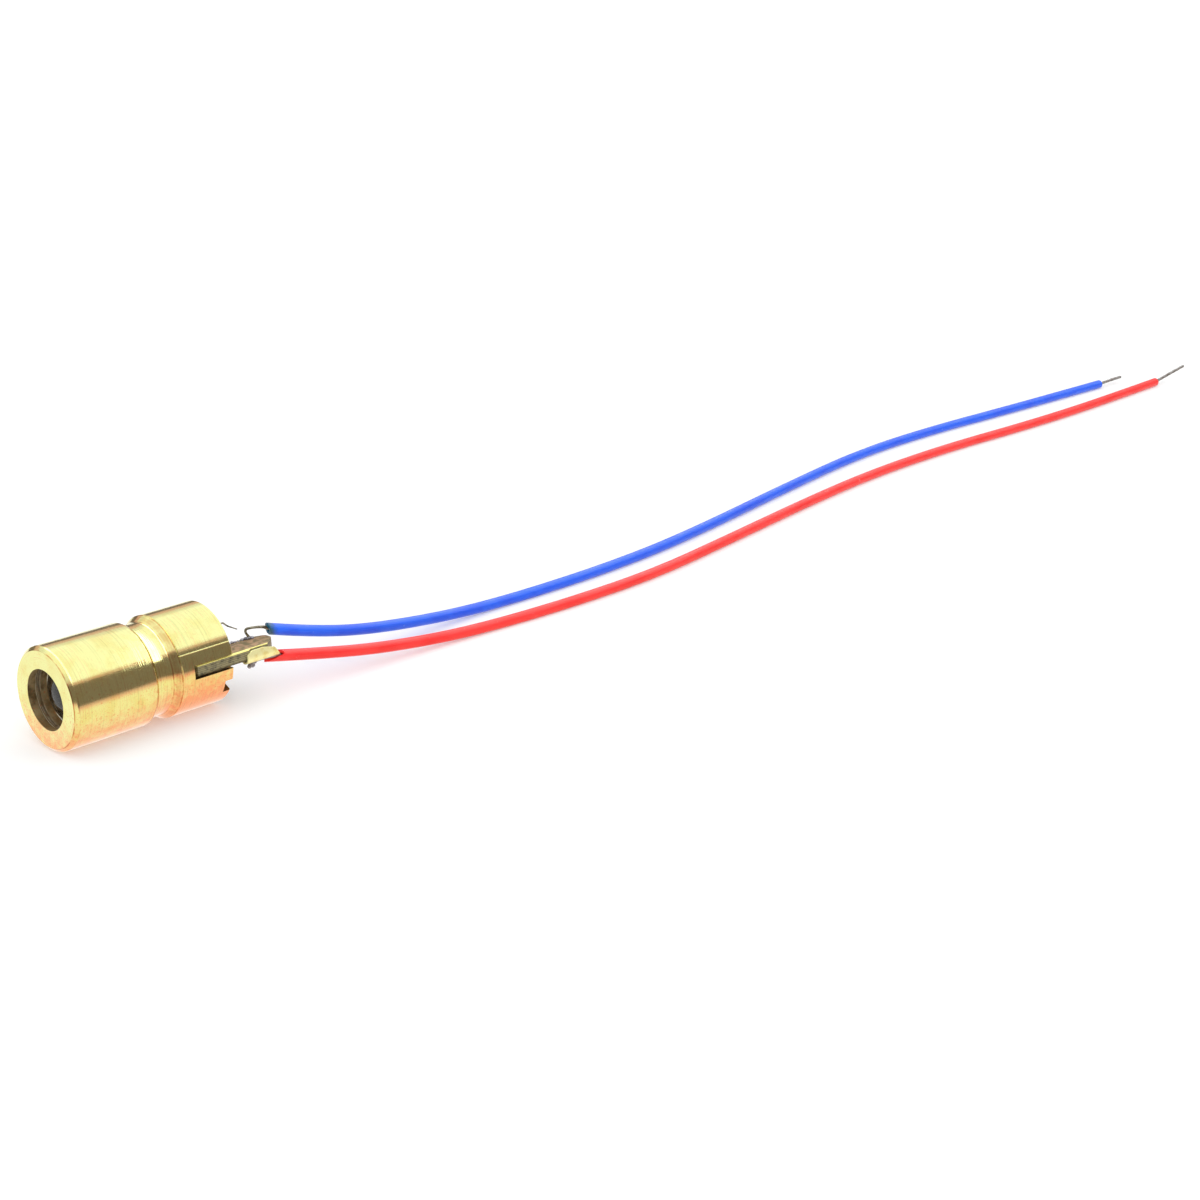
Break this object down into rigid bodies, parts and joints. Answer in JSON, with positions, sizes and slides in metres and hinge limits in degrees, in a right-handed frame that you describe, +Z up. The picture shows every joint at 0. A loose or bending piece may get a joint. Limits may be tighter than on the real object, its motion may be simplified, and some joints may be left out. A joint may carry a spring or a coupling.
{
  "type": "laser diode module",
  "caption": "Small laser head: a turned brass barrel with a collimating lens, a slotted-in circuit board and two insulated supply leads.",
  "frame": {"origin": "on the barrel's axis, midway between its front and rear faces", "axes": "X along the barrel, with the beam leaving towards -X and the leads running towards +X; Z up; -Y is the side whose board edge carries the leads"},
  "size_m": [0.1169, 0.009, 0.006],
  "materials": {
    "barrel_brass": "fine turned, lightly scuffed",
    "clear_lens": "clear moulded",
    "black_plastic": "matt",
    "board_laminate": "cut glass-fibre laminate",
    "board_copper": "dull copper foil",
    "sink_copper": "plain copper",
    "die_crystal": "polished crystal",
    "gold_wire": "drawn",
    "resistor_black": "glazed ceramic, black top",
    "solder": "dull solder",
    "leaf_brass": "bright bent sheet",
    "tinned_core": "tinned strands",
    "blue_insulation": "satin insulation",
    "red_insulation": "satin insulation"
  },
  "bodies": {
    "root": {"barrel": "barrel_brass", "collimating_lens": "clear_lens", "lens_retainer": "black_plastic", "circuit_board": "board_laminate", "top_copper": "board_copper", "bottom_copper": "board_copper", "heat_sink": "sink_copper", "laser_die": "die_crystal", "bond_wire": "gold_wire", "resistor_body": "resistor_black", "resistor_caps": "solder", "barrel_solder": "solder", "contact_leaf": "leaf_brass", "blue_solder": "solder", "red_solder": "solder", "blue_lead": "tinned_core", "red_lead": "tinned_core", "loose_strand": "tinned_core", "blue_wire": "blue_insulation", "red_wire": "red_insulation", "blue_wire_tip": "tinned_core", "red_wire_tip": "tinned_core"}
  },
  "joints": []
}
